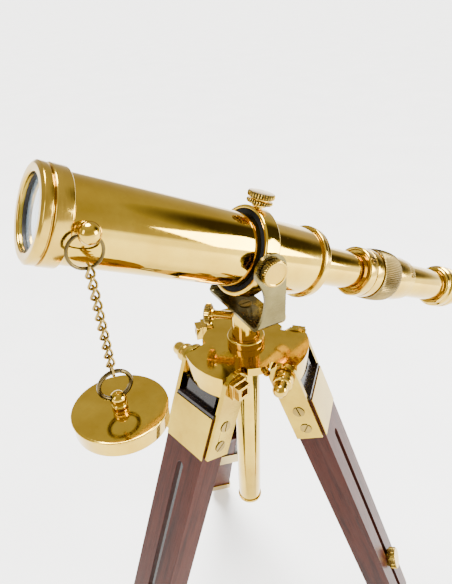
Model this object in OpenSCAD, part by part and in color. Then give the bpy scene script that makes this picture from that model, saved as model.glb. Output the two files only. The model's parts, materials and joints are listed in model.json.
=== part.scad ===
// Small brass telescope on a yoke mount, carried by a three-legged wooden stand with sliding lower legs.
// Frame: millimetres, +Z up, origin on the floor under the centre column.
// The telescope's axis lies in the XZ plane and its objective points towards -X and up.

/* [Stand] */
// Spread of each leg from the vertical, in degrees
leg_tilt = 21.5; // [19:0.5:24]
// Distance along a leg from its pivot to the centre of its foot
leg_reach = 405; // [398:1:450]
// Turn of the stand about the vertical, measured to the first leg, in degrees
stand_turn = 73; // [60:1:85]
// Distance of the leg pivots from the centre column's axis
pivot_r = 31.5; // [31:0.5:34]
// Width of a wooden leg
leg_w = 37; // [36:1:40]
// Width of the long slot in a leg's outer face
slot_w = 6; // [5.8:0.1:7]

/* [Crown and column] */
// Radius of the crown's round core
core_r = 30.5; // [30:0.5:31]
// Radius of the crown's three lobes
lobe_r = 43; // [42:0.5:44]
// Height of the lugs under the lobes
lug_h = 16; // [15:0.5:17]
// Thickness of the crown's top plate
plate_t = 6; // [5:0.5:7]
// Outer radius of the centre column
column_r = 9.25; // [9:0.05:9.5]
// Height of the yoke's underside above the crown's top
yoke_rise = 28; // [27:0.5:34]

/* [Telescope] */
// Upward tilt of the telescope, in degrees
tube_tilt = 25; // [15:1:30]
// Outer radius of the main barrel
barrel_r = 22.5; // [22:0.1:22.6]
// Distance from the mount ring to the objective's front face
front_s = 128; // [125:1:140]
// Distance from the mount ring to the rear end of the main barrel
rear_s = 50; // [45:1:55]
// Outer radius of the draw tube
draw_r = 13.4; // [13.2:0.1:13.6]
// Outer radius of the knurled focus ring
focus_r = 19.4; // [19:0.1:20]
// Outer radius of the eyepiece tube
eye_r = 13; // [12.8:0.1:13.1]

/* [Cap and chain] */
// Outer radius of the lens cap's bead
cap_r = 27.2; // [26.6:0.1:28]
// Number of links in the chain, an odd number
link_n = 11; // [11:2:15]
// Wire diameter of a chain link
link_wire = 1.5; // [1.2:0.05:1.6]

/* [Hidden] */
$fn = 48;
legs = [1, 2, 3];
leg_parts = ["upper_leg", "leg_ears", "leg_sheets", "ear_screws", "lower_leg", "leg_foot", "leg_clamp"];

brass = [0.83, 0.62, 0.25];
dark_brass = [0.55, 0.40, 0.18];
rosewood = [0.36, 0.15, 0.11];
felt_black = [0.06, 0.06, 0.07];
lens_blue = [0.75, 0.86, 0.92];

run_fit = 0.05;      // radial clearance of a running fit
slide_gap = 0.3;     // gap between faces of bodies that move past each other
joint_gap = 0.02;    // gap round a piece that is fixed in another

// Leg, measured in its own frame: x outward, y along the pivot bolt, s down the leg from the pivot
wood_out = 9.6;
wood_in = 10.5;
leg_top_s = 22;
leg_end_s = 292;
chan_w = 23;
chan_x = 5.2;
chan_s = 62;
slot_s = [70, 283];
ear_t = 3.6;
ear_x = [-10.5, 8.3];
ear_end_s = 55.5;
ear_screw_s = [30.5, 46];
ear_screw_x = -0.7;
sheet_s = [24.5, 57];
sheet_t = 0.7;
band_s = [262, 290];
slat_s = [213, 388];
slat_w = chan_w - 2 * slide_gap;
slat_x = [-wood_in + slide_gap, chan_x - slide_gap];
slat_mid = (slat_x[0] + slat_x[1]) / 2;
ferrule_s = [378, 396];
ferrule_t = 1.5;
foot_r = 6.5;
clamp_s = 225;
bolt_r = 3;

// Heights above the floor
pivot_z = leg_reach * cos(leg_tilt) - slat_mid * sin(leg_tilt) + foot_r;
crown_z = pivot_z - lug_h / 2;
crown_top = crown_z + lug_h;
bush_h = 6;
yoke_z = crown_top + yoke_rise;
axis_rise = 40.5;
axis_z = yoke_z + axis_rise;
column_drop = 166;
pan_screw_z = yoke_z - 8;
pan_screw_turn = 138;
lock_screw_turn = -98.5;

// Yoke and mount ring
ring_r = 27.8;
ring_w = 11;
ring_screw_lean = 7;
ring_screw_s = 1.2;
felt_r = 25.4;
yoke_w = 21.2;
yoke_t = 2.2;
yoke_in = ring_r + slide_gap;
trunnion_r = 2.5;
spigot_r = 7;

// Telescope, measured along its own axis from the mount ring, objective positive
collar_s = front_s - 14.7;
stud_s = front_s - 20.6;
stud_lift = 7;
stud_r = 27.9;
front_collar_s = [-116.2, -100.7];
focus_s = [-135.8, -116.5];
rear_collar_s = [-158, -136.1];
eyecup_s = -203.4;
cup_len = 28;

// Cap and chain
ring1_major = 8.5;
ring1_wire = 1.7;
ring2_major = 9;
ring2_wire = 2.4;
stud_ball_r = 5.6;
stud_x = -stud_s * cos(tube_tilt) + stud_r * sin(stud_lift) * sin(tube_tilt);
stud_y = -stud_r * cos(stud_lift);
stud_z = axis_z + stud_s * sin(tube_tilt) + stud_r * sin(stud_lift) * cos(tube_tilt);
chain_x = stud_x - ring1_major * sin(tube_tilt);
hang_z = stud_z - ring1_major * (1 + cos(tube_tilt));
cap_z = crown_top + 13.1;
knob_ball_z = 6;
knob_hole_z = 6.9;
hook_z = cap_z + knob_hole_z + 2 * ring2_major;
link_gap = 0.12;
chain_lean = 36;
ring1_rise = (ring1_wire + link_wire) / 2 / cos(chain_lean) - link_wire / 2;
chain_span = hang_z - hook_z + ring1_rise + ring2_wire / 2 + 2 * link_gap;
link_pitch = (chain_span - link_gap) / link_n;
link_in = link_pitch + link_gap;
link_half_w = 1.6;
upper_links = ceil(link_n / 2);

// Frames of reference
module at_pivot(k) {
    rotate([0, 0, stand_turn + (k - 1) * 120]) translate([pivot_r, 0, pivot_z]) children();
}
module at_leg(k) {
    at_pivot(k) rotate([0, -leg_tilt, 0]) children();
}
module at_tube(s = 0) {
    translate([0, 0, axis_z]) rotate([0, tube_tilt - 90, 0]) translate([0, 0, s]) children();
}
module along_y() {
    rotate([-90, 0, 0]) children();
}

// Shapes that repeat
module tube(r_out, r_in, h) {
    difference() {
        cylinder(r = r_out, h = h);
        translate([0, 0, -1]) cylinder(r = r_in, h = h + 2);
    }
}
module ring_solid(major, wire) {
    rotate_extrude() translate([major, 0]) circle(d = wire);
}
module slab(x, y, s) {
    translate([x[0], y[0], -s[1]]) cube([x[1] - x[0], y[1] - y[0], s[1] - s[0]]);
}
// Knurled head with rounded rims; its grooves are shallow and fine
module thumb_head(r, h) {
    rotate_extrude() polygon([[0, 0], [r - 0.8, 0], [r, 0.8], [r, h - 0.8], [r - 0.8, h], [0, h]]);
}
// Slotted screw, head up at z = 0
module slotted_screw(r, shank_r, depth) {
    difference() {
        union() {
            translate([0, 0, -1.2]) cylinder(r = r, h = 1.8);
            translate([0, 0, -depth]) cylinder(r = shank_r, h = depth);
        }
        translate([-r, -0.45, 0]) cube([2 * r, 0.9, 1]);
    }
}

// ---- Stand ----
module crown_outline() {
    lobe_half = leg_w / 2 - slide_gap;
    slit_out = leg_w / 2 + ear_t + slide_gap;
    slit_in = lobe_half - 1.5;
    slit_r = 20.5;
    difference() {
        circle(r = core_r);
        for (k = legs, side = [0, 1])
            rotate(stand_turn + k * 120) mirror([0, side]) translate([slit_r, slit_in])
                square([core_r, slit_out - slit_in]);
    }
    for (k = legs)
        rotate(stand_turn + k * 120) intersection() {
            circle(r = lobe_r);
            translate([0, -lobe_half]) square([lobe_r + 1, 2 * lobe_half]);
        }
}
module crown() {
    lug_r = 24;
    color(brass) translate([0, 0, crown_z]) difference() {
        linear_extrude(lug_h) crown_outline();
        rotate([0, 0, stand_turn + 60]) translate([0, 0, -1])
            cylinder(r = 2 * lug_r, h = lug_h - plate_t + 1, $fn = 3);
        translate([0, 0, -1]) cylinder(r = 11 + joint_gap, h = lug_h + 2);
        for (k = legs)
            rotate([0, 0, stand_turn + k * 120]) translate([pivot_r, -leg_w, lug_h / 2])
                along_y() cylinder(r = bolt_r + joint_gap, h = 2 * leg_w);
        translate([0, 0, lug_h - plate_t / 2]) rotate([0, 0, lock_screw_turn]) rotate([0, 90, 0])
            cylinder(r = 1.5 + run_fit, h = lobe_r);
    }
}
module column_bush() {
    color(brass) translate([0, 0, crown_top]) difference() {
        union() {
            rotate_extrude() polygon([[0, 0], [12.8, 0], [12.8, bush_h - 0.8], [12, bush_h], [0, bush_h]]);
            translate([0, 0, -plate_t]) cylinder(r = 11, h = plate_t);
        }
        translate([0, 0, -plate_t - 1]) cylinder(r = column_r + run_fit, h = plate_t + bush_h + 2);
        translate([0, 0, -plate_t / 2]) rotate([0, 0, lock_screw_turn]) rotate([0, 90, 0])
            cylinder(r = 1.5 + run_fit, h = lobe_r);
    }
}
module column_lock_screw() {
    color(brass) translate([0, 0, crown_top - plate_t / 2]) rotate([0, 0, lock_screw_turn]) rotate([0, 90, 0])
        difference() {
            union() {
                translate([0, 0, column_r + 0.4]) cylinder(r = 1.5, h = core_r - column_r);
                translate([0, 0, core_r + slide_gap]) cylinder(r = 2.4, h = 3.6);
            }
            translate([-0.4, -3, core_r + slide_gap + 2.6]) cube([0.8, 6, 2]);
        }
}
module pivot_bolts() {
    head_y = leg_w / 2 + ear_t + 0.25;
    color(brass) for (k = legs) at_pivot(k) {
        translate([0, -head_y - 3, 0]) along_y() cylinder(r = bolt_r, h = 2 * head_y + 3);
        translate([-6, head_y, -6]) cube([12, 3.4, 12]);
        difference() {
            translate([-4.8, head_y + 3.4, -4.8]) cube([9.6, 4.6, 9.6]);
            translate([-2.6, head_y + 5, -2.6]) cube([5.2, 4, 5.2]);
        }
    }
}
module acorn_nuts() {
    head_y = leg_w / 2 + ear_t + 0.25;
    color(brass) for (k = legs) at_pivot(k) translate([0, -head_y, 0]) rotate([90, 0, 0]) difference() {
        rotate_extrude() {
            polygon([[0, 0], [6.4, 0], [6.8, 0.5], [6.8, 3.6], [6.4, 4], [6.4, 4.4], [6.7, 4.7], [6.7, 7],
                [6, 7.8], [4.9, 8.2], [4.9, 12.4], [0, 12.4]]);
            intersection() {
                translate([0, 12.4]) circle(r = 4.9);
                square([6, 18]);
            }
        }
        translate([0, 0, -1]) cylinder(r = bolt_r + joint_gap, h = 4.05);
    }
}

// ---- Legs ----
module upper_leg(k) {
    heel_gap = 0.25;
    slot_ends = [slot_s[0] + slot_w / 2, slot_s[1] - slot_w / 2];
    heel = function(x) (-lug_h / 2 - heel_gap - x * sin(leg_tilt)) / cos(leg_tilt);
    color(rosewood) at_leg(k) difference() {
        union() {
            slab([-wood_in, wood_out], [-leg_w / 2, leg_w / 2], [leg_top_s, leg_end_s]);
            translate([0, 14, 0]) rotate([90, 0, 0]) linear_extrude(28)
                polygon([[-2, -leg_top_s - 1], [6, -leg_top_s - 1], [6, heel(6)], [-2, heel(-2)]]);
        }
        slab([-wood_in - 1, chan_x], [-chan_w / 2, chan_w / 2], [chan_s, leg_end_s + 1]);
        slab([chan_x - 1, wood_out + 1], [-slot_w / 2, slot_w / 2], slot_ends);
        for (s = slot_ends)
            translate([chan_x - 1, 0, -s]) rotate([0, 90, 0]) cylinder(d = slot_w, h = wood_out);
        for (s = ear_screw_s, side = [-1, 1])
            translate([ear_screw_x, side * (leg_w / 2 + 1), -s]) rotate([side * 90, 0, 0])
                cylinder(r = 1.5 + joint_gap, h = 8);
    }
}
module leg_ears(k) {
    mid_x = (ear_x[0] + ear_x[1]) / 2;
    half_w = (ear_x[1] - ear_x[0]) / 2;
    color(brass) at_leg(k) for (side = [-1, 1]) {
        translate([0, side * (leg_w + ear_t) / 2 - ear_t / 2, 0]) difference() {
            union() {
                translate([mid_x, 0, 0]) along_y() cylinder(r = half_w, h = ear_t);
                slab(ear_x, [0, ear_t], [0, ear_end_s]);
            }
            translate([0, -1, 0]) along_y() cylinder(r = bolt_r + run_fit, h = ear_t + 2);
            for (s = ear_screw_s) {
                translate([ear_screw_x, -1, -s]) along_y() cylinder(r = 1.5 + joint_gap, h = ear_t + 2);
                translate([ear_screw_x, side > 0 ? ear_t - 1.3 : -1, -s]) along_y()
                    cylinder(r = 4 + joint_gap, h = 2.3);
            }
        }
    }
}
module leg_sheets(k) {
    color(brass) at_leg(k) {
        slab([wood_out, wood_out + sheet_t], [-leg_w / 2 + 0.1, leg_w / 2 - 0.1], sheet_s);
        difference() {
            slab([-wood_in - 0.8, wood_out], [-leg_w / 2 - 0.8, leg_w / 2 + 0.8], band_s);
            slab([-wood_in, wood_out + 1], [-leg_w / 2, leg_w / 2], [band_s[0] - 1, band_s[1] + 1]);
        }
    }
}
module ear_screws(k) {
    color(brass) at_leg(k) for (s = ear_screw_s, side = [-1, 1])
        translate([ear_screw_x, side * (leg_w / 2 + ear_t), -s]) rotate([-side * 90, 0, 0])
            rotate([0, 0, s * 9]) slotted_screw(4, 1.5, 9);
}
module lower_leg(k) {
    color(rosewood) at_leg(k) difference() {
        slab(slat_x, [-slat_w / 2, slat_w / 2], slat_s);
        translate([slat_x[0] - 1, 0, -clamp_s]) rotate([0, 90, 0]) cylinder(r = 2.6 + run_fit, h = 20);
        translate([slat_x[0] - 1, 0, -clamp_s]) rotate([0, 90, 0]) cylinder(r = 5.5, h = 4);
    }
}
module leg_foot(k) {
    color(brass) at_leg(k) {
        difference() {
            slab([slat_x[0] - ferrule_t, slat_x[1] + ferrule_t],
                [-slat_w / 2 - ferrule_t, slat_w / 2 + ferrule_t], ferrule_s);
            slab(slat_x, [-slat_w / 2, slat_w / 2], [ferrule_s[0] - 1, slat_s[1]]);
        }
        translate([slat_mid, 0, -leg_reach]) {
            sphere(r = foot_r);
            cylinder(r = 4, h = leg_reach - ferrule_s[1] + 0.5);
        }
    }
}
module leg_clamp(k) {
    color(brass) at_leg(k) translate([0, 0, -clamp_s]) rotate([0, 90, 0]) {
        translate([0, 0, slat_x[0] + 1]) cylinder(r = 2.6, h = wood_out + 1 - slat_x[0]);
        translate([0, 0, slat_x[0] + 0.4]) cylinder(r = 4.6, h = 2.4);
        translate([0, 0, wood_out + slide_gap]) cylinder(r = 7, h = 1.2);
        translate([0, 0, wood_out + slide_gap + 1.2]) thumb_head(8.5, 6);
    }
}

// ---- Column and yoke ----
module centre_column() {
    foot_z = crown_top - column_drop;
    color(brass) difference() {
        translate([0, 0, foot_z]) cylinder(r = column_r, h = yoke_z - 0.4 - foot_z);
        translate([0, 0, foot_z - 1]) cylinder(r = spigot_r + run_fit, h = 300);
        translate([0, 0, pan_screw_z]) rotate([0, 0, pan_screw_turn]) rotate([0, 90, 0])
            cylinder(r = 3.1 + run_fit, h = 20);
    }
}
module column_cap() {
    color(brass) translate([0, 0, crown_top - column_drop]) rotate_extrude()
        polygon([[0, -4], [8.4, -4], [9.9, -2.5], [9.9, 0], [6.9, 0], [6.9, 5], [0, 5]]);
}
module pan_lock_screw() {
    color(brass) translate([0, 0, pan_screw_z]) rotate([0, 0, pan_screw_turn]) rotate([0, 90, 0]) {
        translate([0, 0, spigot_r + 0.15]) cylinder(r = 3.1, h = 16);
        translate([0, 0, 21.5]) cylinder(r = 3.8, h = 2);
        translate([0, 0, 23.2]) thumb_head(7.2, 4.6);
    }
}
module yoke() {
    out = yoke_in + yoke_t;
    bend = 4;
    scoop_r = 27;
    scoop = [-31.1, 19.5];
    color(brass) translate([0, 0, yoke_z]) difference() {
        intersection() {
            translate([-yoke_w / 2, 0, 0]) rotate([90, 0, 90]) linear_extrude(yoke_w) difference() {
                union() {
                    translate([-out, bend]) square([2 * out, axis_rise + 20]);
                    translate([-out + bend, 0]) square([2 * (out - bend), bend]);
                    for (side = [-1, 1]) translate([side * (out - bend), bend]) circle(r = bend);
                }
                translate([-yoke_in, bend]) square([2 * yoke_in, axis_rise + 30]);
                translate([-yoke_in + bend - yoke_t, yoke_t]) square([2 * (out - bend), bend]);
                for (side = [-1, 1]) translate([side * (out - bend), bend]) circle(r = bend - yoke_t);
            }
            translate([0, out + 1, 0]) rotate([90, 0, 0]) linear_extrude(2 * out + 2) difference() {
                union() {
                    translate([-yoke_w / 2, 0]) square([yoke_w, axis_rise]);
                    translate([0, axis_rise]) circle(d = yoke_w);
                }
                translate(scoop) circle(r = scoop_r);
            }
        }
        translate([0, -out - 1, axis_rise]) along_y() cylinder(r = trunnion_r + run_fit, h = 2 * out + 2);
        translate([0, 0, -1]) cylinder(r = 2 + joint_gap, h = 5);
        translate([0, 0, 1]) cylinder(r = 4.2 + joint_gap, h = 2);
    }
}
module yoke_spigot() {
    color(brass) translate([0, 0, yoke_z]) difference() {
        rotate_extrude() polygon([[0, 0], [spigot_r, 0], [spigot_r, -4], [6.6, -4.5], [6.6, -11.5],
            [spigot_r, -12], [spigot_r, -18], [0, -18]]);
        translate([0, 0, -10]) cylinder(r = 2 + joint_gap, h = 11);
    }
}
module yoke_screw() {
    color(brass) translate([0, 0, yoke_z + 2.2]) slotted_screw(4.2, 2, 11);
}
// On the mount ring's outer face, Z out along the slightly leaning screw
module at_ring_screw() {
    translate([ring_r, 0, ring_screw_s]) rotate([0, 90 - ring_screw_lean, 0]) children();
}

module mount_ring() {
    color(brass) at_tube() difference() {
        translate([0, 0, -ring_w / 2]) rotate_extrude()
            polygon([[felt_r, 0.4], [felt_r + 0.4, 0], [ring_r - 0.7, 0], [ring_r, 0.7], [ring_r, ring_w - 0.7],
                [ring_r - 0.7, ring_w], [felt_r + 0.4, ring_w], [felt_r, ring_w - 0.4]]);
        translate([0, -40, 0]) along_y() cylinder(r = trunnion_r + run_fit, h = 80);
        at_ring_screw() translate([0, 0, -6]) cylinder(r = 2.5 + run_fit, h = 12);
    }
}
module felt_liner() {
    color(felt_black) at_tube() translate([0, 0, -ring_w / 2 + 0.2])
        tube(felt_r - joint_gap, barrel_r + 0.08, ring_w - 0.4);
}
module ring_screw() {
    color(brass) at_tube() at_ring_screw() {
        translate([0, 0, -1.9]) cylinder(r = 2.5, h = 5);
        translate([0, 0, 0.9]) cylinder(r = 4.3, h = 1.8);
        translate([0, 0, 2.5]) thumb_head(8, 2.4);
        translate([0, 0, 4.7]) cylinder(r = 5.6, h = 1.4);
        translate([0, 0, 5.9]) thumb_head(8.35, 3.4);
    }
}
module tilt_knob(side) {
    plate = yoke_in + yoke_t + slide_gap;
    color(brass) translate([0, 0, axis_z]) rotate([-side * 90, 0, 0]) {
        translate([0, 0, felt_r + 0.1]) cylinder(r = trunnion_r, h = plate - felt_r);
        translate([0, 0, plate]) cylinder(r = 6.6, h = 0.6);
        translate([0, 0, plate + 0.4]) thumb_head(8.3, 4.4);
    }
}

// ---- Telescope ----
module barrel() {
    color(brass) at_tube(-rear_s + 3) tube(barrel_r, barrel_r - 1.2, front_s - 10 + rear_s - 3);
}
module objective_collar() {
    color(brass) at_tube(collar_s) rotate_extrude()
        polygon([[barrel_r + joint_gap, 0], [24, 0], [24.6, 0.7], [24.6, 8.3], [24.2, 8.7],
            [barrel_r + joint_gap, 8.7]]);
}
module objective_ring() {
    color(brass) at_tube(front_s) rotate_extrude()
        polygon([[18.7, -3], [18.7, -0.6], [19.3, -0.2], [22.6, 0], [24.4, -1.4], [24.4, -4.6], [24, -5],
            [23.4, -5], [23.4, -6], [barrel_r - 0.1, -6], [barrel_r - 0.1, -9.9], [20.7, -9.9], [20.7, -3]]);
}
// Biconvex lens, centred on the origin, as a turned solid
module lens_disc(r, edge, bulge) {
    curve_r = (r * r + bulge * bulge) / (2 * bulge);
    steps = 8;
    arc = [for (i = [0:steps]) let(x = r * i / steps)
        [x, edge / 2 + bulge - curve_r + sqrt(curve_r * curve_r - x * x)]];
    rotate_extrude() polygon(concat(arc, [for (i = [steps:-1:0]) [arc[i][0], -arc[i][1]]]));
}
module objective_lens() {
    color(lens_blue) at_tube(front_s - 6.1) lens_disc(20.6, 2.2, 1.6);
}
module lens_rings() {
    color(felt_black) at_tube(front_s) {
        translate([0, 0, -4.6]) tube(20.65, 18.5, 1.58);
        translate([0, 0, -9.7]) tube(20.65, 19, 2.2);
    }
}
module barrel_end_ring() {
    color(brass) at_tube(-rear_s) rotate_extrude()
        polygon([[draw_r + run_fit, -3.4], [22.9, -3.4], [23.5, -2.8], [23.5, 0], [24.15, 0.2], [24.15, 2.6],
            [23.7, 3], [barrel_r - 1.22, 3], [barrel_r - 1.22, 9], [draw_r + run_fit, 9]]);
}
module chain_stud() {
    color(brass) at_tube(stud_s) rotate([0, 0, stud_lift]) difference() {
        translate([0, -barrel_r, 0]) rotate([90, 0, 0]) union() {
            translate([0, 0, -1]) cylinder(r = 4.6, h = 2);
            translate([0, 0, -1]) cylinder(r = 3.4, h = 4);
            translate([0, 0, stud_r - barrel_r]) sphere(r = stud_ball_r);
        }
        translate([0, 0, -20]) cylinder(r = barrel_r + joint_gap, h = 40);
        rotate([0, 0, -stud_lift]) translate([stud_r * sin(stud_lift) - ring1_major, stud_y, 0])
            rotate([90, 0, 0]) ring_solid(ring1_major, 3.4);
    }
}
module draw_tube() {
    color(brass) {
        at_tube(front_collar_s[0] + 6) tube(draw_r, draw_r - 1, 20 - front_collar_s[0] - 6);
        at_tube(12) tube(barrel_r - 1.2 - run_fit, draw_r + joint_gap, 8);
    }
}
module erector_cell() {
    color(dark_brass) at_tube(-30) tube(draw_r - 1 - joint_gap, draw_r - 2.4, 46);
}
module erector_lenses() {
    color(lens_blue) for (s = [-24, 9]) at_tube(s) lens_disc(draw_r - 2.45, 1.6, 1.2);
}
module front_collar() {
    sleeve_end = rear_collar_s[1] - front_collar_s[1];
    color(brass) at_tube(front_collar_s[1]) rotate_extrude()
        polygon([[15.6, -1.8], [15.6, -0.5], [16.2, 0], [17.4, 0], [18, -0.6], [18, -7], [17.4, -7.2],
            [17.4, -7.8], [18, -8], [18, -15.2], [17.7, -15.5], [16.7, -15.5], [16.7, sleeve_end],
            [draw_r + joint_gap, sleeve_end], [draw_r + joint_gap, -1.8]]);
}
module focus_ring() {
    len = focus_s[1] - focus_s[0];
    dome = 0.7;
    rim_r = focus_r - dome;
    arc = 9;
    color(brass) at_tube(focus_s[0]) rotate_extrude()
        polygon(concat([[16.7 + run_fit, 0]], [for (i = [0:arc]) let(u = i / arc * 2 - 1)
            [rim_r + dome * (1 - u * u), len * i / arc]], [[16.7 + run_fit, len]]));
}
module rear_collar() {
    len = rear_collar_s[1] - rear_collar_s[0];
    color(brass) at_tube(rear_collar_s[0]) rotate_extrude()
        polygon([[eye_r + run_fit, 0], [15.2, 0], [15.8, 0.6], [15.8, 6.6], [16.4, 7], [16.8, 7.4],
            [16.8, len - 0.5], [16.4, len], [eye_r + run_fit, len]]);
}
module collar_screws() {
    color(brass) {
        at_tube(front_collar_s[1] - 3.6) rotate([0, 0, -40]) rotate([0, 90, 0]) translate([0, 0, 18.02])
            slotted_screw(2.4, 1, 1.25);
        at_tube(rear_collar_s[0] + 3.6) rotate([0, 0, -55]) rotate([0, 90, 0]) translate([0, 0, 15.82])
            slotted_screw(2.2, 1, 1.25);
    }
}
module eyepiece_tube() {
    color(brass) at_tube(eyecup_s - 8) tube(eye_r, eye_r - 1, -eyecup_s + 8 - 118);
}
module eyecup() {
    color(brass) at_tube(eyecup_s) rotate_extrude()
        polygon([[eye_r + joint_gap, -8], [eye_r + joint_gap, 0], [15, 0], [15.8, -0.8], [15.8, -4],
            [17.3, -5], [17.3, -10.5], [16.6, -11], [16.6, -12], [17.3, -12.5], [17.3, -16.5],
            [15.4, -18.5], [15, -25], [14.2, -cup_len], [11.5, -cup_len], [4.5, -cup_len + 6], [4.5, -18],
            [11.5, -18], [11.5, -8]]);
}
module eyepiece_lenses() {
    color(lens_blue) {
        at_tube(eyecup_s - 16) lens_disc(11.45, 1.2, 0.7);
        at_tube(eyecup_s + 18) lens_disc(11.95, 1.4, 1.6);
    }
}

// ---- Cap and chain ----
module chain_ring() {
    drop = [-ring1_major * sin(tube_tilt), 0, -ring1_major * cos(tube_tilt)];
    color(dark_brass) translate([stud_x, stud_y, stud_z] + drop)
        rotate([90, 0, 0]) ring_solid(ring1_major, ring1_wire);
}
// Oval link in the YZ plane, centred on the origin
module link() {
    bend_r = link_half_w + link_wire / 2;
    side_z = link_in / 2 - link_half_w;
    for (end = [-1, 1]) {
        translate([0, 0, end * side_z]) rotate([0, -90, 0]) rotate([0, 0, end > 0 ? -90 : 90])
            rotate_extrude(angle = 180) translate([bend_r, 0]) circle(d = link_wire, $fn = 16);
        translate([0, end * bend_r, -side_z]) cylinder(d = link_wire, h = 2 * side_z, $fn = 16);
    }
}
module links(first, last) {
    top = hang_z + ring1_rise + link_gap - link_in / 2;
    color(brass) for (i = [first:last])
        translate([chain_x, stud_y, top - i * link_pitch]) rotate([0, 0, i % 2 == 0 ? 0 : 90]) link();
}
module cap_ring() {
    color(dark_brass) translate([chain_x, stud_y, hook_z - ring2_major]) rotate([90, 0, 0])
        ring_solid(ring2_major, ring2_wire);
}
module cap_knob() {
    bead_r = 1.6;
    color(brass) translate([chain_x, stud_y, cap_z]) difference() {
        rotate_extrude() union() {
            square([2.9, 2 * bead_r]);
            translate([2.9, bead_r]) circle(r = bead_r);
            intersection() {
                translate([0, knob_ball_z]) circle(r = 4.6);
                square([6, 12]);
            }
        }
        translate([0, 0, knob_hole_z + ring2_major]) rotate([90, 0, 0]) ring_solid(ring2_major, 3.6);
    }
}
module lens_cap() {
    rim_h = 10.6;
    color(brass) translate([chain_x, stud_y, cap_z]) rotate_extrude()
        polygon([[0, 0], [cap_r - 0.5, 0], [cap_r, -0.5], [cap_r, -1.6], [cap_r - 0.6, -2],
            [cap_r - 0.6, -rim_h], [24.9, -rim_h], [24.9, -1.4], [0, -1.4]]);
}

crown();
column_bush();
pivot_bolts();
acorn_nuts();
column_lock_screw();
centre_column();
column_cap();
pan_lock_screw();
yoke();
yoke_spigot();
yoke_screw();
mount_ring();
felt_liner();
ring_screw();
tilt_knob(-1);  // tilt_knob_near
tilt_knob(1);  // tilt_knob_far
barrel();
objective_collar();
objective_ring();
objective_lens();
lens_rings();
barrel_end_ring();
chain_stud();
draw_tube();
erector_cell();
erector_lenses();
front_collar();
rear_collar();
collar_screws();
focus_ring();
eyepiece_tube();
eyecup();
eyepiece_lenses();
chain_ring();
links(0, upper_links - 1);  // chain_upper
links(upper_links, link_n - 1);  // chain_lower
cap_ring();
lens_cap();
cap_knob();
for (k = legs) {
    upper_leg(k);
    leg_ears(k);
    leg_sheets(k);
    ear_screws(k);
    lower_leg(k);
    leg_foot(k);
    leg_clamp(k);
}
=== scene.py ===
"""Looks of a brass telescope on a wooden tripod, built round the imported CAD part."""

import json
import math

import bmesh
import bpy
from mathutils import Matrix, Vector


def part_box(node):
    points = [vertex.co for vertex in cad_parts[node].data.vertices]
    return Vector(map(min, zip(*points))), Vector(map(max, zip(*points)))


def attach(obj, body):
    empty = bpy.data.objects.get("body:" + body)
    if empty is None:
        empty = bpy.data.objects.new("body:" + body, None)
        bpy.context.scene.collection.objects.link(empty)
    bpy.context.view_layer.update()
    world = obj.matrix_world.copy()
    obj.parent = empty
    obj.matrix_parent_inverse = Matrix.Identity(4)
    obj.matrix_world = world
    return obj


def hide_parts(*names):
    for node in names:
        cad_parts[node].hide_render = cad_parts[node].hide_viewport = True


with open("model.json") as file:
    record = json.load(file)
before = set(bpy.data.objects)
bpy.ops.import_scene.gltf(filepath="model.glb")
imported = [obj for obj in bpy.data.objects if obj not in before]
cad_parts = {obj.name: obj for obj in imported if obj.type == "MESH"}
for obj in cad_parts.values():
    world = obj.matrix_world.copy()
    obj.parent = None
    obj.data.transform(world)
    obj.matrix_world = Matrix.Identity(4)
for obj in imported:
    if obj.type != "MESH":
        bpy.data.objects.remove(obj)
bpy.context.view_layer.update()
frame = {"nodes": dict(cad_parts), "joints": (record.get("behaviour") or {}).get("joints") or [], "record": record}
MM = 0.001
JOINTS = {j["name"]: j for j in frame["joints"]}


def place_of(joint):
    return Vector(JOINTS[joint]["pos_m"])


def axis_of(joint):
    return Vector(JOINTS[joint]["axis"]).normalized()


def basis(origin, z, x_hint):
    """Matrix of a frame at origin, with its Z along z and its X as near x_hint as that allows."""
    z = z.normalized()
    x = (x_hint - z * x_hint.dot(z)).normalized()
    m = Matrix((x, z.cross(x), z)).transposed().to_4x4()
    m.translation = origin
    return m


UP = Vector((0, 0, 1))
PIVOT = place_of("tilt")
TUBE_AXIS = axis_of("tube_slide")
TUBE_UP = (UP - TUBE_AXIS * UP.dot(TUBE_AXIS)).normalized()
TUBE = basis(PIVOT, TUBE_AXIS, TUBE_UP)
STUD = place_of("top_ring_swing")
LEGS = (1, 2, 3)


# ---- Mesh helpers: profiles are lists of (radius, height) in millimetres ----
def rounded(points, radius, steps=3):
    """The closed outline with each corner turned into a small arc."""
    out = []
    count = len(points)
    for i, p in enumerate(points):
        a, b, c = Vector(points[i - 1]), Vector(p), Vector(points[(i + 1) % count])
        to_a, to_c = a - b, c - b
        cut = min(radius, to_a.length * 0.45, to_c.length * 0.45)
        turn = to_a.angle(to_c, math.pi)
        if b.x <= 0 or turn > math.radians(172) or cut < 0.01:
            out.append((b.x, b.y))
            continue
        start, end = b + to_a.normalized() * cut, b + to_c.normalized() * cut
        for k in range(steps + 1):
            t = k / steps
            q = start.lerp(b, t).lerp(b.lerp(end, t), t)
            out.append((q.x, q.y))
    return out


def finish_mesh(bm, name, matrix, sharp=35):
    """Makes an object of bm, smooth but for edges over sharp degrees."""
    bmesh.ops.remove_doubles(bm, verts=bm.verts, dist=1e-7)
    bmesh.ops.recalc_face_normals(bm, faces=bm.faces)
    mesh = bpy.data.meshes.new(name)
    bm.to_mesh(mesh)
    bm.free()
    for poly in mesh.polygons:
        poly.use_smooth = True
    mesh.set_sharp_from_angle(angle=math.radians(sharp))
    piece = bpy.data.objects.new(name, mesh)
    bpy.context.scene.collection.objects.link(piece)
    piece.matrix_world = matrix
    return piece


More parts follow.
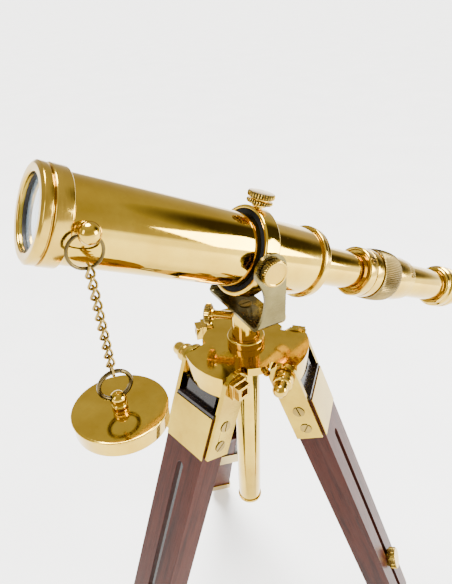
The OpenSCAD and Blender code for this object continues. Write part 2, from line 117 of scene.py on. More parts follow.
def add_turned(bm, outline, segments, wobble=None, at=Matrix.Identity(4)):
    """Turns a closed outline round Z. wobble(angle, r, z) gives a change of radius."""
    rings = []
    for i in range(segments):
        angle = 2 * math.pi * i / segments
        ring = []
        for r, z in outline:
            rr = r + (wobble(angle, r, z) if wobble and r > 0 else 0)
            ring.append(bm.verts.new(at @ (Vector((rr * math.cos(angle), rr * math.sin(angle), z)) * MM)))
        rings.append(ring)
    count = len(outline)
    for i in range(segments):
        a, b = rings[i], rings[(i + 1) % segments]
        for j in range(count):
            k = (j + 1) % count
            if outline[j][0] <= 0 and outline[k][0] <= 0:
                continue
            bm.faces.new((a[j], b[j], b[k], a[k]))


def clean_poles(bm):
    """Joins the points that a turned outline leaves on the axis."""
    bmesh.ops.remove_doubles(bm, verts=bm.verts, dist=1e-7)
    bmesh.ops.dissolve_degenerate(bm, dist=1e-8, edges=bm.edges)


def turned(name, outline, matrix, segments=96, fillet=0.3, wobble=None):
    bm = bmesh.new()
    add_turned(bm, rounded(outline, fillet), segments, wobble)
    clean_poles(bm)
    return finish_mesh(bm, name, matrix)


def add_sweep(bm, path, radius, sides=14, closed=True):
    """A round wire along path, a list of vectors in millimetres."""
    count = len(path)
    rings = []
    side = None
    for i, p in enumerate(path):
        before = path[i - 1] if closed or i else p
        after = path[(i + 1) % count] if closed or i < count - 1 else p
        along = (after - before).normalized()
        if side is None:
            side = along.orthogonal().normalized()
        side = (side - along * side.dot(along)).normalized()
        other = along.cross(side)
        ring = []
        for k in range(sides):
            a = 2 * math.pi * k / sides
            point = p + side * math.cos(a) * radius + other * math.sin(a) * radius
            ring.append(bm.verts.new(point * MM))
        rings.append(ring)
    spans = count if closed else count - 1
    for i in range(spans):
        a, b = rings[i], rings[(i + 1) % count]
        shift = 0
        if closed and i == count - 1:
            shift = min(range(sides), key=lambda s: (a[0].co - b[s].co).length)
        for k in range(sides):
            bm.faces.new((a[k], a[(k + 1) % sides], b[(k + 1 + shift) % sides], b[(k + shift) % sides]))
    if not closed:
        bm.faces.new(rings[0])
        bm.faces.new(rings[-1])


def softened(node, width, matrix=None, segments=2, cut_z=None):
    """A copy of a CAD node's shape with its sharp edges rounded, kept in the given frame."""
    matrix = matrix or Matrix.Identity(4)
    bm = bmesh.new()
    bm.from_mesh(frame["nodes"][node].data)
    bmesh.ops.transform(bm, matrix=matrix.inverted(), verts=bm.verts)
    bmesh.ops.remove_doubles(bm, verts=bm.verts, dist=2e-6)
    bmesh.ops.dissolve_limit(bm, angle_limit=math.radians(0.8), verts=bm.verts, edges=bm.edges)
    if cut_z is not None:
        geometry = bm.verts[:] + bm.edges[:] + bm.faces[:]
        bmesh.ops.bisect_plane(bm, geom=geometry, plane_co=(0, 0, cut_z * MM), plane_no=UP)
    piece = finish_mesh(bm, node + "_soft", matrix, 30)
    bevel = piece.modifiers.new("Edges", "BEVEL")
    bevel.width = width * MM
    bevel.segments = segments
    bevel.limit_method = "ANGLE"
    bevel.angle_limit = math.radians(32)
    bevel.use_clamp_overlap = True
    bevel.harden_normals = True
    return piece


def paint(piece, *materials):
    piece.data.materials.clear()
    for m in materials:
        piece.data.materials.append(m)
    return piece


def stand_for(piece, body, slot, *nodes):
    """Ties a piece to its body, and hides the CAD nodes it takes the place of. The slot is not used."""
    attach(piece, body)
    if nodes:
        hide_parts(*nodes)
    return piece


# ---- Materials ----
def new_material(name, **settings):
    """A Principled material. A setting is one of the shader's inputs, with _ for each space in its name."""
    m = bpy.data.materials.new(name)
    m.use_nodes = True
    bsdf = m.node_tree.nodes["Principled BSDF"]
    for key, value in settings.items():
        bsdf.inputs[key.replace("_", " ")].default_value = value
    return m, m.node_tree, bsdf


def link(tree, a, out, b, into):
    tree.links.new(a.outputs[out], b.inputs[into])


def add(tree, kind, **values):
    """A shader node. A value is one of its inputs where it has one of that name, else a property."""
    node = tree.nodes.new("ShaderNode" + kind)
    for key, value in values.items():
        if key in node.inputs:
            node.inputs[key].default_value = value
        else:
            setattr(node, key, value)
    return node


def ramp(tree, stops):
    """A colour ramp whose stops are (position, colour)."""
    node = tree.nodes.new("ShaderNodeValToRGB")
    elements = node.color_ramp.elements
    while len(elements) < len(stops):
        elements.new(0.5)
    for element, (at, colour) in zip(elements, stops):
        element.position = at
        element.color = (*colour, 1)
    return node


def grey(v):
    return (v, v, v)


def noise(tree, scale, **values):
    """Noise laid out in the piece's own coordinates, with a scale for each axis."""
    coords = add(tree, "TexCoord")
    mapping = add(tree, "Mapping")
    mapping.inputs["Scale"].default_value = scale
    link(tree, coords, "Object", mapping, "Vector")
    node = add(tree, "TexNoise", Scale=1.0, **values)
    link(tree, mapping, "Vector", node, "Vector")
    return node


def drive(tree, source, stops, target, socket):
    """Sets one socket of target from a noise, through a ramp."""
    levels = ramp(tree, stops)
    link(tree, source, "Fac", levels, "Fac")
    link(tree, levels, "Color", target, socket)


def emboss(tree, source, bsdf, strength, distance):
    """Raises the surface by a noise, over a distance in metres."""
    relief = add(tree, "Bump", Strength=strength, Distance=distance)
    link(tree, source, "Fac", relief, "Height")
    link(tree, relief, "Normal", bsdf, "Normal")


def brass(name, light, dark, rough=(0.07, 0.16), brush=(60, 60, 60), bump=0.02, tarnish=0.35):
    """Polished brass: two tones in soft clouds, polishing marks along one direction, a few duller spots."""
    m, tree, bsdf = new_material(name, Metallic=1.0)
    mix = add(tree, "Mix", data_type="RGBA")
    mix.inputs["B"].default_value = (dark[0] * 0.55, dark[1] * 0.5, dark[2] * 0.45, 1)
    clouds = noise(tree, (38, 38, 38), Detail=4.0, Roughness=0.6)
    drive(tree, clouds, [(0.3, dark), (0.68, light)], mix, "A")
    spots = noise(tree, (210, 210, 210), Detail=8.0, Roughness=0.7)
    drive(tree, spots, [(0.62, grey(0)), (0.78, grey(tarnish))], mix, "Factor")
    link(tree, mix, "Result", bsdf, "Base Color")
    marks = noise(tree, brush, Detail=6.0, Roughness=0.65)
    drive(tree, marks, [(0.35, grey(rough[0])), (0.7, grey(rough[1]))], bsdf, "Roughness")
    emboss(tree, marks, bsdf, bump, 0.0004)
    return m


def wood(name, light, dark):
    """Lacquered rosewood with its grain along local Z, dark pores and a light sheen."""
    m, tree, bsdf = new_material(name, Coat_Weight=0.04, Coat_Roughness=0.22, Specular_IOR_Level=0.06)
    mix = add(tree, "Mix", data_type="RGBA", blend_type="MULTIPLY")
    mix.inputs["Factor"].default_value = 0.8
    flow = noise(tree, (160, 160, 9), Detail=5.0, Roughness=0.6, Distortion=0.4)
    drive(tree, flow, [(0.3, dark), (0.5, light), (0.72, [c * 1.25 for c in light])], mix, "A")
    pores = noise(tree, (1500, 1500, 70), Detail=9.0, Roughness=0.75)
    drive(tree, pores, [(0.5, grey(1)), (0.66, grey(0.35))], mix, "B")
    link(tree, mix, "Result", bsdf, "Base Color")
    drive(tree, pores, [(0.3, grey(0.28)), (0.7, grey(0.42))], bsdf, "Roughness")
    emboss(tree, pores, bsdf, 0.25, 0.0003)
    return m


def lacquer(name, colour):
    """Glossy lacquer with a faint orange peel."""
    m, tree, bsdf = new_material(name, Coat_Weight=0.25, Coat_Roughness=0.08, Specular_IOR_Level=0.2)
    peel = noise(tree, (420, 420, 420), Detail=3.0)
    drive(tree, peel, [(0.35, colour), (0.7, [c * 2.2 for c in colour])], bsdf, "Base Color")
    drive(tree, peel, [(0.3, grey(0.16)), (0.7, grey(0.3))], bsdf, "Roughness")
    emboss(tree, peel, bsdf, 0.12, 0.0003)
    return m


def felt(name):
    m, tree, bsdf = new_material(name, Sheen_Weight=0.02, Sheen_Roughness=0.6, Specular_IOR_Level=0.05)
    fibres = noise(tree, (1600, 1600, 1600), Detail=8.0, Roughness=0.8)
    drive(tree, fibres, [(0.3, (0.0015, 0.0015, 0.002)), (0.75, (0.006, 0.006, 0.007))], bsdf, "Base Color")
    drive(tree, fibres, [(0.2, grey(0.85)), (0.8, grey(1.0))], bsdf, "Roughness")
    emboss(tree, fibres, bsdf, 0.8, 0.0004)
    return m


def matte_black(name):
    m, tree, bsdf = new_material(name)
    grain = noise(tree, (700, 700, 700), Detail=6.0)
    drive(tree, grain, [(0.3, (0.006, 0.006, 0.006)), (0.8, (0.03, 0.027, 0.022))], bsdf, "Base Color")
    drive(tree, grain, [(0.3, grey(0.45)), (0.8, grey(0.75))], bsdf, "Roughness")
    return m


def coated_glass(name):
    """Bluish glass whose strong coat stands for the lens's reflections."""
    m, tree, bsdf = new_material(name, Transmission_Weight=0.3, IOR=1.62, Coat_Weight=1.0,
                                 Coat_Roughness=0.02, Coat_IOR=1.9)
    haze = noise(tree, (90, 90, 90), Detail=5.0)
    drive(tree, haze, [(0.3, (0.34, 0.46, 0.58)), (0.7, (0.48, 0.62, 0.74))], bsdf, "Base Color")
    drive(tree, haze, [(0.4, grey(0.01)), (0.75, grey(0.05))], bsdf, "Roughness")
    return m


GOLD, GOLD_DEEP = (0.60, 0.41, 0.050), (0.48, 0.30, 0.028)
BRASS = brass("Brass polished", GOLD, GOLD_DEEP)
BRASS_TUBE = brass("Brass drawn tube", GOLD, GOLD_DEEP, (0.05, 0.11), (30, 400, 400), 0.015, 0.2)
BRASS_TURNED = brass("Brass turned", (0.56, 0.375, 0.055), (0.42, 0.26, 0.03), (0.1, 0.2), (160, 160, 1500), 0.05)
# The yoke's brass, made dark as painted shade for the dark things it reflects; it is also rougher.
BRASS_SHEET_PAINTED_SHADE = brass("Brass sheet with painted shade", (0.17, 0.14, 0.055), (0.09, 0.07, 0.025), (0.2, 0.32), (90, 90, 1200), 0.06, 0.5)
BRASS_PLATE = brass("Brass plate", (0.46, 0.32, 0.038), (0.32, 0.2, 0.02), (0.1, 0.2), (90, 90, 1200), 0.05, 0.4)
BRASS_DULL = brass("Brass aged", (0.10, 0.072, 0.026), (0.05, 0.035, 0.012), (0.2, 0.34), (300, 300, 300), 0.12, 0.7)
BRASS_WORN = brass("Brass worn", (0.30, 0.205, 0.05), (0.15, 0.10, 0.022), (0.14, 0.28), (300, 300, 300), 0.1, 0.6)
# A dark brass laid in knurl grooves and screw slots as painted shade.
BRASS_PAINTED_SHADE = brass("Brass painted shade", (0.12, 0.085, 0.025), (0.05, 0.035, 0.01), (0.35, 0.5), (300,) * 3, 0.1, 0.6)
WOOD = wood("Rosewood", (0.044, 0.0095, 0.0048), (0.016, 0.0038, 0.0022))
# Black lacquer, also laid as painted shade in the legs' channels and forks.
LACQUER_AND_PAINTED_SHADE = lacquer("Black lacquer and painted shade", (0.006, 0.004, 0.004))
FELT = felt("Black felt")
BLACKENED = matte_black("Blackened brass")
GLASS = coated_glass("Coated glass")
SLOT_MATERIAL = {
    "brass": BRASS, "dark_brass": BRASS_DULL, "blackened_brass": BLACKENED,
    "leg_wood": WOOD, "felt": FELT, "lens_glass": GLASS,
}
for row in frame["record"]["subparts"]:
    paint(frame["nodes"][row["node"]], SLOT_MATERIAL[row["material_slot"]])


# ---- Camera, floor and light ----
CAMERA_AT = Vector((-0.1418, -0.2366, 0.6019))
CAMERA_HEADING = math.radians(61.76)
CAMERA_PITCH = math.radians(-34.63)
CAMERA_ROLL = math.radians(-3.0)
CAMERA_LENS = 30.91
CAMERA_SHIFT_Y = 0.0452
FLOOR_RADIUS = 40


def direction(heading, elevation):
    """The unit vector at a heading, counted from +X, and an elevation, both in radians."""
    level = math.cos(elevation)
    return Vector((math.cos(heading) * level, math.sin(heading) * level, math.sin(elevation)))


def make_camera():
    data = bpy.data.cameras.new("Camera")
    data.sensor_width = 36
    data.lens = CAMERA_LENS
    data.shift_y = CAMERA_SHIFT_Y
    data.clip_start, data.clip_end = 0.01, 100
    camera = bpy.data.objects.new("Camera", data)
    bpy.context.scene.collection.objects.link(camera)
    forward = direction(CAMERA_HEADING, CAMERA_PITCH)
    right = forward.cross(UP).normalized()
    above = right.cross(forward)
    c, s = math.cos(CAMERA_ROLL), math.sin(CAMERA_ROLL)
    x, y = right * c + above * s, above * c - right * s
    camera.matrix_world = Matrix((x, y, -forward)).transposed().to_4x4()
    camera.location = CAMERA_AT
    bpy.context.scene.camera = camera


def make_floor():
    m, tree, bsdf = new_material("Pale floor", Roughness=0.9, Specular_IOR_Level=0.0)
    grain = noise(tree, (6, 6, 6), Detail=3.0)
    drive(tree, grain, [(0.3, grey(0.86)), (0.7, grey(0.9))], bsdf, "Base Color")
    bm = bmesh.new()
    bmesh.ops.create_circle(bm, cap_ends=True, radius=FLOOR_RADIUS, segments=64)
    floor = finish_mesh(bm, "Floor", Matrix.Identity(4))
    paint(floor, m)


def make_world():
    """A bright studio: white at floor level, warmer and dimmer overhead, with one dark corner."""
    world = bpy.data.worlds.new("Studio")
    bpy.context.scene.world = world
    world.use_nodes = True
    tree = world.node_tree
    background = tree.nodes["Background"]
    coords = add(tree, "TexCoord")
    split = add(tree, "SeparateXYZ")
    link(tree, coords, "Generated", split, "Vector")
    height = add(tree, "MapRange")
    height.inputs["From Min"].default_value = -1.0
    link(tree, split, "Z", height, "Value")
    dome = ramp(tree, [(0.0, grey(3)), (0.505, grey(3)), (0.535, (1.1, 1.0, 0.85)), (0.66, (0.85, 0.78, 0.64)),
                       (0.78, (0.75, 0.68, 0.54)), (0.86, (0.8, 0.74, 0.6)), (1.0, (1.1, 1.0, 0.85))])
    link(tree, height, "Result", dome, "Fac")
    corner = add(tree, "VectorMath", operation="DOT_PRODUCT")
    corner.inputs[1].default_value = direction(math.radians(-12), math.radians(22))
    link(tree, coords, "Generated", corner, "Vector")
    shade = ramp(tree, [(0.90, grey(0)), (0.975, grey(1))])
    link(tree, corner, "Value", shade, "Fac")
    room = add(tree, "Mix", data_type="RGBA")
    room.inputs["B"].default_value = (0.08, 0.065, 0.04, 1)
    link(tree, shade, "Color", room, "Factor")
    link(tree, dome, "Color", room, "A")
    link(tree, room, "Result", background, "Color")
    background.inputs["Strength"].default_value = 1.0


def make_sun(name, toward, power, angle):
    data = bpy.data.lights.new(name, "SUN")
    data.energy = power
    data.angle = math.radians(angle)
    sun = bpy.data.objects.new(name, data)
    bpy.context.scene.collection.objects.link(sun)
    sun.rotation_euler = (-toward).to_track_quat("-Z", "Y").to_euler()


def soft_box(name, at, size, power):
    """A rectangular lamp that faces the tube's pivot."""
    data = bpy.data.lights.new(name, "AREA")
    data.shape = "RECTANGLE"
    data.size, data.size_y = size
    data.energy = power
    lamp = bpy.data.objects.new(name, data)
    bpy.context.scene.collection.objects.link(lamp)
    lamp.location = at
    lamp.rotation_euler = (PIVOT - Vector(at)).to_track_quat("-Z", "Y").to_euler()


def make_light():
    make_world()
    make_sun("Sky panel", direction(math.radians(75), math.radians(73)), 13, 32)
    soft_box("Key", (1.3, -1.1, 0.75), (0.9, 0.7), 60)
    soft_box("Left", (-1.5, -0.4, 1.4), (0.5, 0.9), 12)


make_camera()
make_floor()
make_light()

# ---- Telescope: outlines are (radius, distance) from a station on the tube's axis ----
def at_tube(station):
    return TUBE @ Matrix.Translation((0, 0, station * MM))


KNURL_STEPS = 6       # points round each tooth
GROOVE_SHADE = 0.45   # 0 at a tooth's crest, 1 at the bottom of a groove; faces deeper than this get painted shade


def knurl(teeth, depth, rim):
    """A wobble that cuts V grooves where the radius is above rim."""
    def cut(angle, r, z):
        phase = (angle * teeth / (2 * math.pi)) % 1
        return -depth * abs(2 * phase - 1) if r > rim else 0
    return cut


def paint_groove_shade(piece, teeth, rim, low=-math.inf, high=math.inf):
    """Paints shade into the bottoms of a knurl's grooves, with a darker brass."""
    piece.data.materials.append(BRASS_PAINTED_SHADE)
    for poly in piece.data.polygons:
        x, y, z = poly.center / MM
        phase = (math.atan2(y, x) * teeth / (2 * math.pi)) % 1
        if math.hypot(x, y) > rim and low < z < high and abs(2 * phase - 1) > GROOVE_SHADE:
            poly.material_index = 1


def knurled(name, outline, matrix, teeth, depth, rim, fillet=0.25):
    return turned(name, outline, matrix, teeth * KNURL_STEPS, fillet, knurl(teeth, depth, rim))


TELESCOPE_PARTS = [
    # node, body, station, fillet, material, outline
    ("barrel", "telescope", 0, 0.2, BRASS_TUBE,
     [(21.3, -47), (22.5, -47), (22.5, 118), (21.3, 118)]),
    ("objective_collar", "telescope", 113.3, 0.35, BRASS_TURNED,
     [(22.52, 0), (23.9, 0), (24.6, 0.7), (24.6, 8.2), (24.2, 8.7), (22.52, 8.7)]),
    ("objective_ring", "telescope", 128, 0.35, BRASS_TURNED,
     [(18.7, -3), (18.7, -0.7), (19.4, -0.15), (22.6, 0), (24.4, -1.2), (24.4, -4.6), (24, -5), (23.2, -5),
      (23.2, -6), (22.4, -6), (22.4, -9.9), (20.7, -9.9), (20.7, -3)]),
    ("lens_rings", "telescope", 128, 0.1, BLACKENED,
     [(18.5, -4.6), (20.65, -4.6), (20.65, -3.02), (18.5, -3.02)]),
    ("barrel_end_ring", "telescope", -50, 0.3, BRASS_TURNED,
     [(13.45, -3.4), (22.9, -3.4), (23.5, -2.8), (23.5, 0), (24.15, 0.3), (24.15, 2.5), (23.6, 3), (21.28, 3),
      (21.28, 9), (13.45, 9)]),
    ("draw_tube", "draw", -110.2, 0.2, BRASS_TUBE,
     [(12.4, 0), (13.4, 0), (13.4, 130.2), (12.4, 130.2)]),
    ("front_collar", "draw", -100.7, 0.35, BRASS_TURNED,
     [(15.6, -1.8), (15.6, -0.5), (16.2, 0), (17.3, 0), (18, -0.7), (18, -7), (17.4, -7.2), (17.4, -7.8),
      (18, -8), (18, -15.2), (17.7, -15.5), (16.7, -15.5), (16.7, -35.4), (13.42, -35.4), (13.42, -1.8)]),
    ("rear_collar", "draw", -158, 0.35, BRASS_TURNED,
     [(13.05, 0), (15.1, 0), (15.8, 0.7), (15.8, 6.4), (16.4, 7), (16.8, 7.5), (16.8, 21.3), (16.3, 21.9),
      (13.05, 21.9)]),
    ("eyepiece_tube", "eyepiece", -211.4, 0.2, BRASS_TUBE,
     [(12, 0), (13, 0), (13, 93.4), (12, 93.4)]),
    ("eyecup", "eyepiece", -203.4, 0.35, BRASS_TURNED,
     [(13.02, -8), (13.02, 0), (14.9, 0), (15.8, -0.9), (15.8, -4), (17.2, -5), (17.3, -10.4), (16.6, -11),
      (16.6, -12), (17.3, -12.6), (17.3, -16.5), (15.4, -18.5), (15, -25), (14.2, -28), (11.5, -28), (4.5, -22),
      (4.5, -18), (11.5, -18), (11.5, -8)]),
    ("mount_ring", "cradle", -5.5, 0.5, BRASS_TUBE,
     [(25.4, 0.4), (25.8, 0), (27.1, 0), (27.8, 0.7), (27.8, 10.3), (27.1, 11), (25.8, 11), (25.4, 10.6)]),
]


def make_telescope():
    for node, body, station, fillet, material, outline in TELESCOPE_PARTS:
        slot = "blackened_brass" if material is BLACKENED else "brass"
        piece = turned(node + "_turned", outline, at_tube(station), 160, fillet)
        stand_for(paint(piece, material), body, slot, node)


def make_felt():
    def fuzz(angle, r, z):
        return 0.05 * math.sin(37 * angle + 3 * z) + 0.04 * math.sin(91 * angle - 5 * z)
    rows = [-5.3 + 10.6 * i / 10 for i in range(11)]
    outline = [(22.63, z) for z in rows] + [(25.3, z) for z in reversed(rows)]
    piece = turned("felt_liner_pad", outline, at_tube(0), 220, 0.05, fuzz)
    stand_for(paint(piece, FELT), "cradle", "felt", "felt_liner")


def lens_outline(radius, edge, bulge, steps=14):
    curve = (radius ** 2 + bulge ** 2) / (2 * bulge)
    front = [(radius * i / steps, edge / 2 + bulge - curve + math.sqrt(curve ** 2 - (radius * i / steps) ** 2))
             for i in range(steps + 1)]
    return front + [(r, -z) for r, z in reversed(front)]


# Dark rings seen through the glass. No CAD node stands behind them.
INNER_RINGS = [
    # name, station, fillet, outline
    ("lens_ring_rear", 118.3, 0.1, [(19, 0), (20.65, 0), (20.65, 2.2), (19, 2.2)]),
    ("barrel_lining", 70, 0.05, [(21, 0), (21.28, 0), (21.28, 47), (21, 47)]),
    ("barrel_stop", 84, 0.1, [(12, 0), (20.98, 0), (20.98, 0.8), (12, 0.8)]),
]


def make_lens():
    piece = turned("objective_glass", lens_outline(20.6, 2.2, 1.6), at_tube(121.9), 128, 0)
    stand_for(paint(piece, GLASS), "telescope", "lens_glass", "objective_lens")
    for name, station, fillet, outline in INNER_RINGS:
        piece = turned(name, outline, at_tube(station), 96, fillet)
        stand_for(paint(piece, BLACKENED), "telescope", "blackened_brass")


def make_focus_ring():
    steps = 12
    dome = [(18.7 + 0.65 * (1 - (2 * i / steps - 1) ** 2), 19.3 * i / steps) for i in range(steps + 1)]
    outline = [(16.75, 0)] + dome + [(16.75, 19.3)]
    piece = knurled("focus_ring_knurled", outline, at_tube(-135.8), 90, 0.62, 18.72, 0.15)
    stand_for(paint(piece, BRASS_WORN), "focus", "brass", "focus_ring")
    paint_groove_shade(piece, 90, 18, 0.3, 19)


def make_stud():
    radial = (STUD - PIVOT - TUBE_AXIS * (STUD - PIVOT).dot(TUBE_AXIS))
    ball, reach = 5.6, radial.length / MM
    base = 22.4
    arc = [(ball * math.sin(t), reach - ball * math.cos(t))
           for t in [math.pi * i / 24 for i in range(5, 25)]]
    outline = [(0, base), (4.6, base), (4.6, base + 0.9), (4.0, base + 1.4), (3.4, base + 1.7)] + arc
    matrix = basis(STUD - radial, radial, TUBE_AXIS)
    piece = turned("chain_stud_ball", outline, matrix, 64, 0.15)
    stand_for(paint(piece, BRASS), "telescope", "brass", "chain_stud")


# ---- Thumbscrews ----
def make_ring_screw():
    outline = [(0, -1.9), (2.5, -1.9), (2.5, 0.9), (4.3, 0.9), (4.3, 2.1), (3.8, 2.5), (7.2, 2.55), (8, 3.2),
               (8, 4.25), (7.3, 4.85), (5.6, 4.9), (5.6, 5.95), (7.6, 6), (8.35, 6.7), (8.35, 8.6), (7.6, 9.3),
               (0, 9.3)]
    matrix = basis(place_of("ring_lock_turn"), axis_of("ring_lock_turn"), -TUBE_AXIS)
    piece = knurled("ring_screw_knurled", outline, matrix, 30, 0.75, 7.7)
    stand_for(paint(piece, BRASS_TURNED), "ring_lock", "brass", "ring_screw")
    paint_groove_shade(piece, 30, 7.2)


def make_tilt_knobs():
    outline = [(0, 25.5), (2.5, 25.5), (2.5, 30.62), (6.6, 30.62), (6.6, 31), (7.7, 31), (8.3, 31.6), (8.3, 34.6),
               (7.6, 35.35), (6.7, 35.4), (6.1, 35), (0, 34.9)]
    for side in ("near", "far"):
        matrix = basis(PIVOT, axis_of(f"tilt_lock_{side}_turn"), UP)
        piece = knurled(f"tilt_knob_{side}_knurled", outline, matrix, 36, 0.65, 7.9)
        stand_for(paint(piece, BRASS_TURNED), f"tilt_lock_{side}", "brass", f"tilt_knob_{side}")
        paint_groove_shade(piece, 36, 7.3, 30.8, 35.2)


def make_pan_screw():
    pitch, core, depth = 1.05, 3.1, 0.5
    start, end = 7.3, 21.6
    count = int((end - start) / pitch * 8)
    rows = [start + (end - start) * i / count for i in range(count + 1)]

    def thread(angle, r, z):
        phase = (z / pitch + angle / (2 * math.pi)) % 1
        return -depth * (1 - abs(2 * phase - 1)) if z < end and r > 3.05 else 0
    outline = [(0, start)] + [(core, z) for z in rows] + [(3.8, 21.7), (3.8, 23.2), (6.2, 23.25), (7.2, 24),
                                                          (7.2, 26.6), (6.2, 27.6), (0, 27.8)]
    ridges = knurl(30, 0.6, 6.9)
    matrix = basis(place_of("pan_lock_turn"), axis_of("pan_lock_turn"), UP)
    piece = turned("pan_lock_screw_threaded", outline, matrix, 30 * KNURL_STEPS, 0.0,
                   lambda angle, r, z: thread(angle, r, z) + ridges(angle, r, z))
    stand_for(paint(piece, BRASS_TURNED), "pan_lock", "brass", "pan_lock_screw")
    paint_groove_shade(piece, 30, 6.4)


def make_clamps():
    outline = [(0, -9.2), (2.6, -9.2), (2.6, 9.95), (7, 9.95), (7, 11.1), (7.9, 11.2), (8.5, 11.8), (8.5, 16.4),
               (7.7, 17.1), (3, 17.05), (0, 17)]
    nut = [(0, -9.8), (4.6, -9.8), (4.6, -7.5), (0, -7.4)]
    for k in LEGS:
        matrix = basis(place_of(f"clamp_{k}_turn"), axis_of(f"clamp_{k}_turn"), UP)
        piece = knurled(f"leg_clamp_{k}_knurled", outline, matrix, 36, 0.5, 8.1)
        stand_for(paint(piece, BRASS_TURNED), f"clamp_{k}", "brass", f"leg_clamp_{k}")
        paint_groove_shade(piece, 36, 7.7)
        back = turned(f"leg_clamp_{k}_nut", nut, matrix, 6, 0.2)
        stand_for(paint(back, BRASS_TURNED), f"clamp_{k}", "brass")


# ---- Stand ----
CROWN_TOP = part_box("crown")[1].z


def on_axis(z):
    return Matrix.Translation((0, 0, z))


def make_column():
    bush = [(9.3, -6), (11, -6), (11, 0), (12.8, 0), (12.8, 5.2), (12, 6), (9.3, 6)]
    piece = turned("column_bush_turned", bush, on_axis(CROWN_TOP), 96, 0.4)
    stand_for(paint(piece, BRASS_TURNED), "stand", "brass", "column_bush")
    low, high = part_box("centre_column")
    length = (high.z - low.z) / MM
    tube = [(7.05, 0), (9.25, 0), (9.25, length), (7.05, length)]
    piece = turned("centre_column_tube", tube, on_axis(low.z), 96, 0.4)
    stand_for(paint(piece, BRASS), "column", "brass", "centre_column")
    cap = [(0, -4), (8.4, -4), (9.9, -2.5), (9.9, 0), (6.9, 0), (6.9, 5), (0, 5)]
    piece = turned("column_cap_turned", cap, on_axis(low.z), 96, 0.5)
    stand_for(paint(piece, BRASS_TURNED), "column", "brass", "column_cap")


NUT_SEAT = 22.35   # from the middle of a leg to the face its nut bears on


def make_acorn_nuts():
    dome = [(4.9 * math.cos(t), 12.4 + 4.9 * math.sin(t)) for t in [math.pi / 2 * i / 14 for i in range(15)]]
    outline = [(0, 0), (6.3, 0), (6.8, 0.5), (6.8, 3.6), (6.4, 4), (6.4, 4.4), (6.7, 4.7), (6.7, 7), (6, 7.8),
               (4.9, 8.2)] + dome
    bm = bmesh.new()
    for k in LEGS:
        along = -axis_of(f"leg_{k}_fold")
        seat = place_of(f"leg_{k}_fold") + along * NUT_SEAT * MM
        add_turned(bm, rounded(outline, 0.3), 48, None, basis(seat, along, UP))
    clean_poles(bm)
    piece = finish_mesh(bm, "acorn_nuts_turned", Matrix.Identity(4))
    stand_for(paint(piece, BRASS_TURNED), "stand", "brass", "acorn_nuts")


SOFTENED = [
    # node, body, edge radius, material
    ("crown", "stand", 0.6, BRASS),
    ("pivot_bolts", "stand", 0.35, BRASS_TURNED),
    ("column_lock_screw", "column_lock", 0.15, BRASS_TURNED),
    ("yoke", "fork", 0.3, BRASS_SHEET_PAINTED_SHADE),
    ("yoke_screw", "fork", 0.15, BRASS_WORN),
    ("yoke_spigot", "fork", 0.2, BRASS_TURNED),
    ("collar_screws", "draw", 0.1, BRASS_WORN),
]


SLOT_STEP = 0.05      # a face this far below a screw's head is in its slot or on its shank, and gets painted shade
DARK_TOP_END = -24.5   # the black top of an upper leg ends here, below its pivot: a dark wood end, painted black as well for the fork's shade between the ears
# The inside of an upper leg's channel is painted black as painted shade.
CHANNEL_FRONT, CHANNEL_HALF, CHANNEL_TOP = 5.3, 11.6, -61


def paint_slot_shade(piece, outward):
    """Paints shade, with a darker brass, onto every face of a screw below its head's top, its slot among them.
    outward(point) is the height towards the head.
    """
    piece.data.materials.append(BRASS_PAINTED_SHADE)
    face = max(outward(v.co) for v in piece.data.vertices)
    for poly in piece.data.polygons:
        poly.material_index = int(outward(poly.center) < face - SLOT_STEP * MM)


def make_softened():
    for node, body, width, material in SOFTENED:
        piece = paint(softened(node, width), material)
        stand_for(piece, body, "brass", node)
        if node == "yoke_screw":
            paint_slot_shade(piece, lambda point: point.z)


def make_legs():
    for k in LEGS:
        leg = basis(place_of(f"leg_{k}_fold"), -axis_of(f"leg_{k}_length"), axis_of(f"clamp_{k}_turn"))
        upper = paint(softened(f"upper_leg_{k}", 0.5, leg, 3, DARK_TOP_END), WOOD, LACQUER_AND_PAINTED_SHADE)
        # Black lacquer above the top line and inside the channel: painted shade of the fork and of the channel, over
        # the wood's own dark end.
        for poly in upper.data.polygons:
            x, y, z = poly.center
            in_channel = x < CHANNEL_FRONT * MM and abs(y) < CHANNEL_HALF * MM and z < CHANNEL_TOP * MM
            if z > (DARK_TOP_END + 0.1) * MM or in_channel:
                poly.material_index = 1
        stand_for(upper, f"leg_{k}", "leg_wood", f"upper_leg_{k}")
        for part, width, material in (("leg_ears", 0.3, BRASS_PLATE), ("leg_sheets", 0.2, BRASS_PLATE),
                                      ("ear_screws", 0.12, BRASS_WORN)):
            node = f"{part}_{k}"
            piece = paint(softened(node, width, leg), material)
            stand_for(piece, f"leg_{k}", "brass", node)
            if part == "ear_screws":
                paint_slot_shade(piece, lambda point: abs(point.y))
        lower = paint(softened(f"lower_leg_{k}", 0.7, leg, 3), WOOD)
        stand_for(lower, f"lower_{k}", "leg_wood", f"lower_leg_{k}")
        foot = paint(softened(f"leg_foot_{k}", 0.4, leg), BRASS_TURNED)
        stand_for(foot, f"lower_{k}", "brass", f"leg_foot_{k}")


# ---- Chain and cap ----
LINK_COUNT = 11
LINK_WIRE, LINK_GAP, LINK_HALF = 1.5, 0.12, 1.6
LINK_SLACK = 0.03     # the drawn wire is this much thinner, so that links don't touch
RING_SPLIT_AT = 1.1   # where a wire ring is cut, in radians from +X
RING_SPLIT = 0.03     # half the cut, in radians


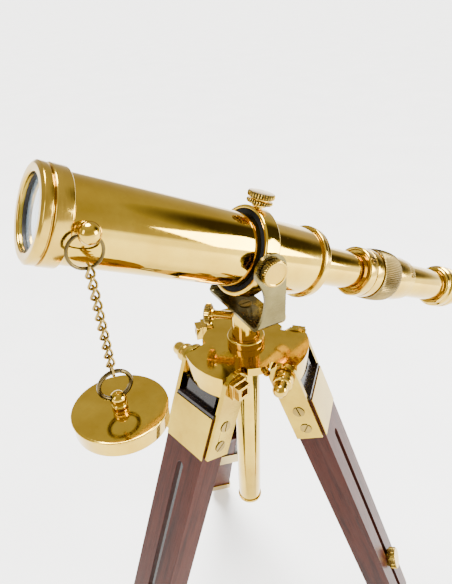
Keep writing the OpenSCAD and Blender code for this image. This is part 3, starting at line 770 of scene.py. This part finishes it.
def link_path(inner_length, twist, steps=12):
    """The centre line of a link along Z. A curb link's lower end is a quarter turn from its upper end."""
    bend = LINK_HALF + LINK_WIRE / 2
    side = inner_length / 2 - LINK_HALF
    top = [(bend * math.cos(t), side + bend * math.sin(t)) for t in [math.pi * i / steps for i in range(steps + 1)]]
    sides = [(-bend, side * (1 - i / 3)) for i in (1, 2, 3, 4, 5)]
    half = top + sides
    path = []
    for a, b in half + [(-a, -b) for a, b in half]:
        angle = math.pi / 2 if not twist else math.pi / 4 * (1 + max(-1, min(1, b / (side + bend * 0.7))))
        path.append(Vector((a * math.cos(angle), a * math.sin(angle), b)))
    return path


def make_chain():
    upper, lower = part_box("chain_upper"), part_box("chain_lower")
    height = (upper[1].z - lower[0].z) / MM
    pitch = (height - LINK_GAP - 2 * LINK_WIRE) / LINK_COUNT
    inner = pitch + LINK_GAP
    middle = (upper[0] + upper[1]) / 2
    first = upper[1].z / MM - LINK_WIRE - inner / 2
    split = round(((upper[1].z - upper[0].z) / MM - LINK_GAP - 2 * LINK_WIRE) / pitch)
    for name, body, indices in (("chain_upper", "chain_top", range(split)),
                                ("chain_lower", "chain_bottom", range(split, LINK_COUNT))):
        bm = bmesh.new()
        for i in indices:
            centre = Vector((middle.x / MM, middle.y / MM, first - i * pitch))
            path = [centre + p for p in link_path(inner, i < LINK_COUNT - 1)]
            add_sweep(bm, path, LINK_WIRE / 2 - LINK_SLACK)
        piece = finish_mesh(bm, name + "_links", Matrix.Identity(4))
        stand_for(paint(piece, BRASS_WORN), body, "brass", name)


def make_wire_ring(node, body, wire):
    low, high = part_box(node)
    centre = (low + high) / 2
    radius = (high.x - low.x) / MM / 2 - wire / 2
    steps = 90
    path = []
    for i in range(steps + 1):
        t = RING_SPLIT_AT + RING_SPLIT + (2 * math.pi - 2 * RING_SPLIT) * i / steps
        path.append(centre / MM + Vector((math.cos(t), 0, math.sin(t))) * radius)
    bm = bmesh.new()
    add_sweep(bm, path, wire / 2, 16, closed=False)
    piece = finish_mesh(bm, node + "_wire", Matrix.Identity(4))
    stand_for(paint(piece, BRASS_DULL), body, "dark_brass", node)


def make_cap():
    hang = place_of("cap_swing")
    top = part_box("lens_cap")[1].z
    matrix = Matrix.Translation((hang.x, hang.y, top))
    shell = [(0, -0.05), (20, -0.1), (25.9, -0.15), (26.9, -0.35), (27.2, -0.9), (27.1, -1.6), (26.6, -2),
             (26.6, -10.6), (24.9, -10.6), (24.9, -1.4), (0, -1.4)]
    piece = turned("lens_cap_shell", shell, matrix, 160, 0.3)
    stand_for(paint(piece, BRASS), "cap", "brass", "lens_cap")
    stand_for(paint(softened("cap_knob", 0.15), BRASS), "cap", "brass", "cap_knob")


make_telescope()
make_felt()
make_lens()
make_focus_ring()
make_stud()
make_ring_screw()
make_tilt_knobs()
make_pan_screw()
make_clamps()
make_column()
make_acorn_nuts()
make_softened()
make_legs()
make_chain()
make_wire_ring("chain_ring", "top_ring", 1.7)
make_wire_ring("cap_ring", "bottom_ring", 2.4)
make_cap()
